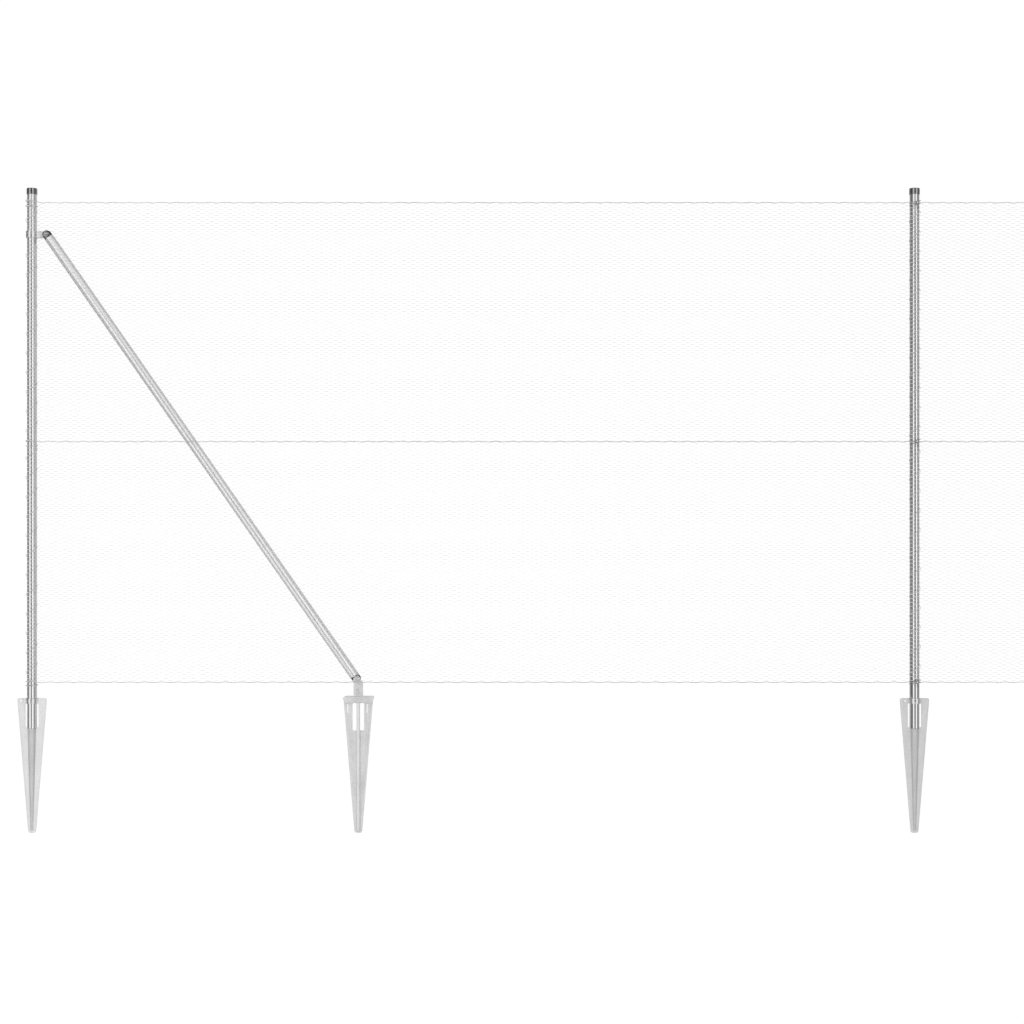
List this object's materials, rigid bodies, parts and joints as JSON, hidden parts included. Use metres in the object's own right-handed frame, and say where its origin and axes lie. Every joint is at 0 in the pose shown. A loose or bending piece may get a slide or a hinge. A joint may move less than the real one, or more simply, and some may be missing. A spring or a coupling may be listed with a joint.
{
  "type": "wire mesh fence",
  "caption": "Braced bay of hexagonal wire netting on round galvanised posts with spike anchors, line wires, lacing and a slanting brace tube, stored lying on its back.",
  "frame": {"origin": "centre of the overall box in X and Y, on the floor that the collars and the brace clamp rest on", "axes": "+X along the fence from the braced post to the far post, +Y towards the post caps (up when the fence stands), +Z out of the face that carries the netting (up as stored)"},
  "size_m": [3.3609, 2.1522, 0.0415],
  "materials": {
    "post_zinc": "bright smooth galvanised steel tube",
    "cap_steel": "glossy grey pressed steel cap",
    "anchor_zinc": "matt pale hot-dip zinc on pressed sheet",
    "bolt_zinc": "grey zinc-plated fasteners",
    "netting_wire": "thin pale galvanised wire",
    "line_wire": "galvanised tension and binding wire"
  },
  "bodies": {
    "root": {"post_left": "post_zinc", "post_right": "post_zinc", "post_cap_left": "cap_steel", "post_cap_right": "cap_steel", "anchor_left": "anchor_zinc", "anchor_right": "anchor_zinc", "anchor_brace": "anchor_zinc", "anchor_bolt_left": "bolt_zinc", "anchor_bolt_right": "bolt_zinc", "anchor_nut_left": "bolt_zinc", "anchor_nut_right": "bolt_zinc", "brace_tube": "post_zinc", "brace_plug_top": "bolt_zinc", "brace_plug_foot": "bolt_zinc", "brace_clamp": "anchor_zinc", "brace_clamp_bolt": "bolt_zinc", "brace_clamp_nut": "bolt_zinc", "foot_plate_front": "anchor_zinc", "foot_plate_back": "anchor_zinc", "foot_bolt": "bolt_zinc", "foot_nut": "bolt_zinc", "foot_rivet_upper": "bolt_zinc", "foot_rivet_lower": "bolt_zinc", "netting": "netting_wire", "line_wire_top": "line_wire", "line_wire_middle": "line_wire", "line_wire_bottom": "line_wire", "tie_wire_top": "line_wire", "tie_wire_middle": "line_wire", "tie_wire_bottom": "line_wire", "lacing_left_top": "line_wire", "lacing_left_upper": "line_wire", "lacing_left_lower": "line_wire", "lacing_right_upper": "line_wire", "lacing_right_lower": "line_wire"}
  },
  "joints": []
}
